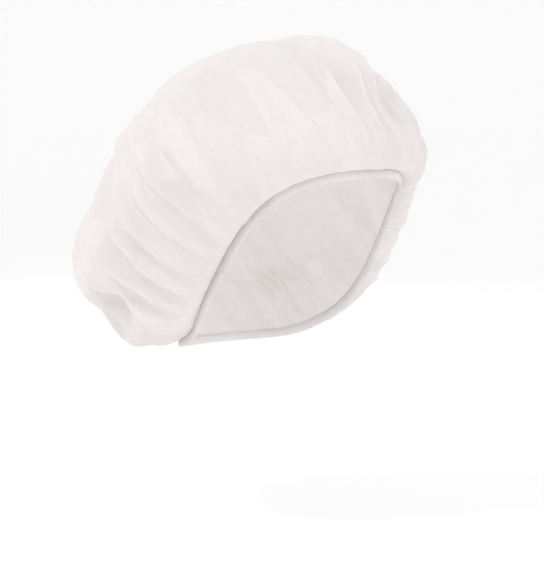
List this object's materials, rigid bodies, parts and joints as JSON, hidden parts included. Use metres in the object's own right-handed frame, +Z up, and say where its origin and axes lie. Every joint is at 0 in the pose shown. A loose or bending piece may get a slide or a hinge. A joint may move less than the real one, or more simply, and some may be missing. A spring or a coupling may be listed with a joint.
{
  "type": "disposable bouffant cap",
  "caption": "Disposable bouffant cap of thin white non-woven cloth, puffed over the head and gathered by an elastic hem from forehead to nape.",
  "frame": {"origin": "middle of the head opening, half way between the hem at the forehead and the hem at the nape", "axes": "+Z up as worn, -Y towards the wearer's forehead, -X towards the wearer's right ear"},
  "size_m": [0.2306, 0.2628, 0.2156],
  "materials": {
    "crown_cloth": "matte",
    "hem_cloth": "matte",
    "elastic": "matte",
    "thread": "satin"
  },
  "bodies": {
    "root": {"crown_cloth": "crown_cloth", "hem_casing": "hem_cloth", "elastic_band": "elastic", "hem_needle_thread": "thread", "hem_looper_thread": "thread"}
  },
  "joints": []
}
